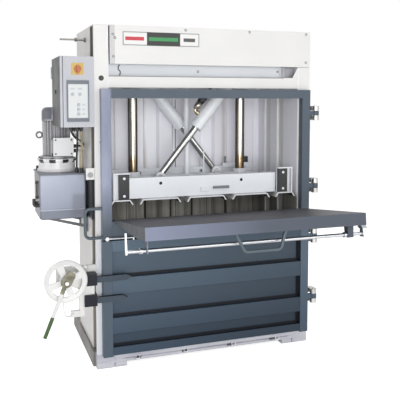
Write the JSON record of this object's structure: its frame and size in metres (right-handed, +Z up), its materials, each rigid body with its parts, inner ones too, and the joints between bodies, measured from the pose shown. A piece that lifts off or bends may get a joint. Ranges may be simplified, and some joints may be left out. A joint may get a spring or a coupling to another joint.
{
  "type": "recycling baler",
  "caption": "Upright baler with a ribbed lower door, an upper door with a folding feed flap, a ram driven by crossed hydraulic cylinders, a screw lock and a side power unit.",
  "frame": {"origin": "on the floor, in the middle of the floor area that the machine takes with its flap open", "axes": "+X to the right seen from the front, +Y to the back, +Z up"},
  "size_m": [2.004, 1.7917, 2.28],
  "materials": {
    "body_paint": "satin",
    "wall_paint": "satin",
    "door_paint": "satin",
    "unit_paint": "satin",
    "base_paint": "satin",
    "bright_steel": "fine brushed",
    "chrome": "polished",
    "dark_steel": "oiled",
    "barrel_paint": "gloss",
    "brass": "plain",
    "cast_unit": "painted",
    "black_plastic": "matt",
    "panel_plastic": "matt",
    "yellow_plastic": "gloss",
    "red_plastic": "gloss",
    "green_rubber": "matt",
    "cable_rubber": "matt",
    "olive_steel": "satin"
  },
  "bodies": {
    "frame": {"base_frame": "base_paint", "base_sill": "body_paint", "side_wall_left": "wall_paint", "side_wall_right": "body_paint", "rear_wall": "body_paint", "roof_plate": "body_paint", "head_frame": "body_paint", "rod_bushes": "dark_steel", "top_cover": "body_paint", "recess_panel": "wall_paint", "stay_rod": "bright_steel", "hinge_brackets": "bright_steel", "cabinet_shell": "unit_paint", "switch_plate": "yellow_plastic", "button_panel": "panel_plastic", "cable_glands": "black_plastic", "control_cables": "cable_rubber", "oil_tank": "unit_paint", "tank_lid": "unit_paint", "bell_housing": "cast_unit", "unit_bolts": "dark_steel", "motor_body": "cast_unit", "fan_cowl": "unit_paint", "terminal_box": "cast_unit", "lifting_eye": "bright_steel", "tank_fittings": "brass", "tank_bracket": "unit_paint", "lock_catch": "body_paint"},
    "lower_door": {"lower_door": "door_paint", "lock_arms": "door_paint", "lock_carrier": "body_paint"},
    "lock_wheel": {"handwheel": "body_paint"},
    "ratchet": {"ratchet_lever": "olive_steel", "lever_grip": "green_rubber"},
    "upper_door": {"upper_door": "door_paint", "grab_handle": "door_paint"},
    "latch": {"door_latch": "bright_steel"},
    "flap": {"flap": "door_paint", "flap_handle": "door_paint"},
    "lock_bar": {"flap_bar": "bright_steel"},
    "ram": {"platen_plates": "dark_steel", "platen_frame": "body_paint", "guide_rods": "chrome", "guide_blocks": "dark_steel", "clevis_pins": "bright_steel", "switch_rods": "bright_steel"},
    "front_piston": {"front_rod": "chrome"},
    "front_cylinder": {"front_barrel": "barrel_paint", "barrel_fittings": "brass"},
    "rear_piston": {"rear_rod": "chrome"},
    "rear_cylinder": {"rear_barrel": "barrel_paint"},
    "cabinet_door": {"cabinet_door": "unit_paint"},
    "door_key": {"cabinet_lock": "black_plastic"},
    "main_switch": {"switch_knob": "red_plastic"},
    "fan": {"motor_fan": "black_plastic"},
    "push_button_1": {"button_1": "red_plastic"},
    "push_button_2": {"button_2": "panel_plastic"},
    "push_button_3": {"button_3": "panel_plastic"},
    "push_button_4": {"button_4": "panel_plastic"},
    "push_button_5": {"button_5": "panel_plastic"}
  },
  "joints": [
    {"name": "lower_door_swing", "type": "hinge", "parent": "frame", "child": "lower_door", "pos_m": [0.977, -0.063, 0.5], "axis": [0, 0, 1], "range_deg": [0, 180]},
    {"name": "upper_door_swing", "type": "hinge", "parent": "frame", "child": "upper_door", "pos_m": [0.977, -0.063, 1.4], "axis": [0, 0, 1], "range_deg": [0, 180]},
    {"name": "lock_wheel_turn", "type": "hinge", "parent": "lower_door", "child": "lock_wheel", "pos_m": [-0.844, -0.115, 0.65], "axis": [0, 1, 0], "continuous": true},
    {"name": "ratchet_swing", "type": "hinge", "parent": "lock_wheel", "child": "ratchet", "pos_m": [-0.844, -0.145, 0.65], "axis": [0, 1, 0], "range_deg": [-15, 60]},
    {"name": "latch_lift", "type": "hinge", "parent": "upper_door", "child": "latch", "pos_m": [-0.569, -0.105, 0.893], "axis": [0, -1, 0], "range_deg": [0, 15]},
    {"name": "flap_fold", "type": "hinge", "parent": "upper_door", "child": "flap", "pos_m": [0.17, -0.105, 1.004], "axis": [-1, 0, 0], "range_deg": [0, 83]},
    {"name": "lock_bar_turn", "type": "hinge", "parent": "flap", "child": "lock_bar", "pos_m": [0.155, -0.77047, 0.95876], "axis": [1, 0, 0], "range_deg": [-40, 40]},
    {"name": "platen_slide", "type": "slide", "parent": "frame", "child": "ram", "axis": [0, 0, 1], "range_m": [-0.3, 0.42]},
    {"name": "front_piston_swing", "type": "hinge", "parent": "ram", "child": "front_piston", "pos_m": [-0.11, 0.265, 1.243], "axis": [0, 1, 0], "range_deg": [-12, 16]},
    {"name": "front_cylinder_slide", "type": "slide", "parent": "front_piston", "child": "front_cylinder", "axis": [0.6211, 0, 0.7837], "range_m": [-0.32, 0.23]},
    {"name": "rear_piston_swing", "type": "hinge", "parent": "ram", "child": "rear_piston", "pos_m": [0.42, 0.525, 1.243], "axis": [0, -1, 0], "range_deg": [-12, 16]},
    {"name": "rear_cylinder_slide", "type": "slide", "parent": "rear_piston", "child": "rear_cylinder", "axis": [-0.6211, 0, 0.7837], "range_m": [-0.32, 0.23]},
    {"name": "cabinet_door_swing", "type": "hinge", "parent": "frame", "child": "cabinet_door", "pos_m": [-0.849, 0.373, 1.846], "axis": [0, 0, -1], "range_deg": [0, 100]},
    {"name": "door_key_turn", "type": "hinge", "parent": "cabinet_door", "child": "door_key", "pos_m": [-0.849, 0.165, 1.848], "axis": [1, 0, 0], "range_deg": [0, 90]},
    {"name": "main_switch_turn", "type": "hinge", "parent": "frame", "child": "main_switch", "pos_m": [-0.738, -0.06, 1.992], "axis": [0, 1, 0], "range_deg": [0, 90]},
    {"name": "fan_spin", "type": "hinge", "parent": "frame", "child": "fan", "pos_m": [-0.81, 0.485, 1.7], "axis": [0, 0, 1], "continuous": true},
    {"name": "button_1_press", "type": "slide", "parent": "frame", "child": "push_button_1", "axis": [0, 1, 0], "range_m": [0, 0.003], "stiffness_N_per_m": 300},
    {"name": "button_2_press", "type": "slide", "parent": "frame", "child": "push_button_2", "axis": [0, 1, 0], "range_m": [0, 0.003], "stiffness_N_per_m": 300},
    {"name": "button_3_press", "type": "slide", "parent": "frame", "child": "push_button_3", "axis": [0, 1, 0], "range_m": [0, 0.003], "stiffness_N_per_m": 300},
    {"name": "button_4_press", "type": "slide", "parent": "frame", "child": "push_button_4", "axis": [0, 1, 0], "range_m": [0, 0.003], "stiffness_N_per_m": 300},
    {"name": "button_5_press", "type": "slide", "parent": "frame", "child": "push_button_5", "axis": [0, 1, 0], "range_m": [0, 0.003], "stiffness_N_per_m": 300}
  ],
  "couplings": [
    {"joint": "front_piston_swing", "follows": "platen_slide", "rad_per_m": 0.59},
    {"joint": "front_cylinder_slide", "follows": "platen_slide", "ratio": -0.73},
    {"joint": "rear_piston_swing", "follows": "platen_slide", "rad_per_m": 0.59},
    {"joint": "rear_cylinder_slide", "follows": "platen_slide", "ratio": -0.73}
  ]
}
